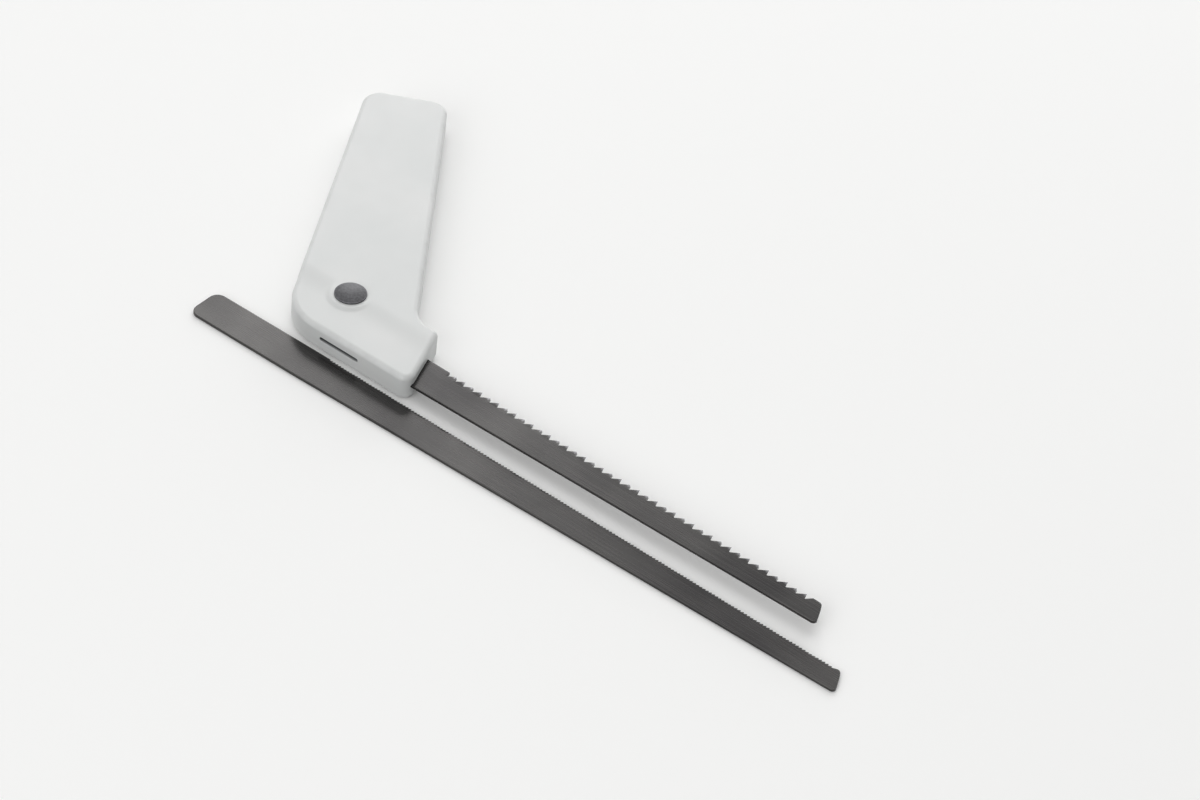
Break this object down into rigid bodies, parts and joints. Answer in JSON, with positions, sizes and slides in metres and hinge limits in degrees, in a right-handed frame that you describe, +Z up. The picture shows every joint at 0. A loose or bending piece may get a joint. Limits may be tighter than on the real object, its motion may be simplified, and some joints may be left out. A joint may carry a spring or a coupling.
{
  "type": "padsaw",
  "caption": "Padsaw: flat cast pistol handle with blade seats in its nose and in line with its grip, a screw clamp, a fitted coarse blade and a loose fine blade.",
  "frame": {"origin": "on the flat far face that the saw lies on, under the middle of the grip", "axes": "+X along the fitted blade towards its toe, +Y to the grip's side, +Z up through the casting towards the clamp's plain head"},
  "size_m": [0.2524, 0.1231, 0.0101],
  "materials": {
    "handle_paint": "light grey paint on a die casting, satin",
    "clamp_steel": "blackened steel, satin",
    "blade_steel": "hardened blade steel, tempered dark grey and ground lengthwise, satin"
  },
  "bodies": {
    "handle": {"handle": "handle_paint"},
    "screw": {"clamp_screw": "clamp_steel"},
    "nut": {"clamp_nut": "clamp_steel"},
    "fitted_blade": {"fitted_blade": "blade_steel"},
    "spare_blade": {"spare_blade": "blade_steel"}
  },
  "joints": [
    {"name": "blade_slide", "type": "slide", "parent": "handle", "child": "fitted_blade", "axis": [1, 0, 0], "range_m": [0, 0.042]},
    {"name": "screw_turn", "type": "hinge", "parent": "handle", "child": "screw", "pos_m": [0.0265, -0.0424, 0.0011], "axis": [0, 0, -1], "range_deg": [0, 720]},
    {"name": "nut_lift", "type": "slide", "parent": "handle", "child": "nut", "axis": [0, 0, 1], "range_m": [0, 0.001]},
    {"name": "spare_lift", "type": "slide", "parent": "handle", "child": "spare_blade", "axis": [0, 0, 1], "range_m": [0, 0.03]}
  ],
  "couplings": [
    {"joint": "screw_turn", "follows": "nut_lift", "rad_per_m": 12566}
  ]
}
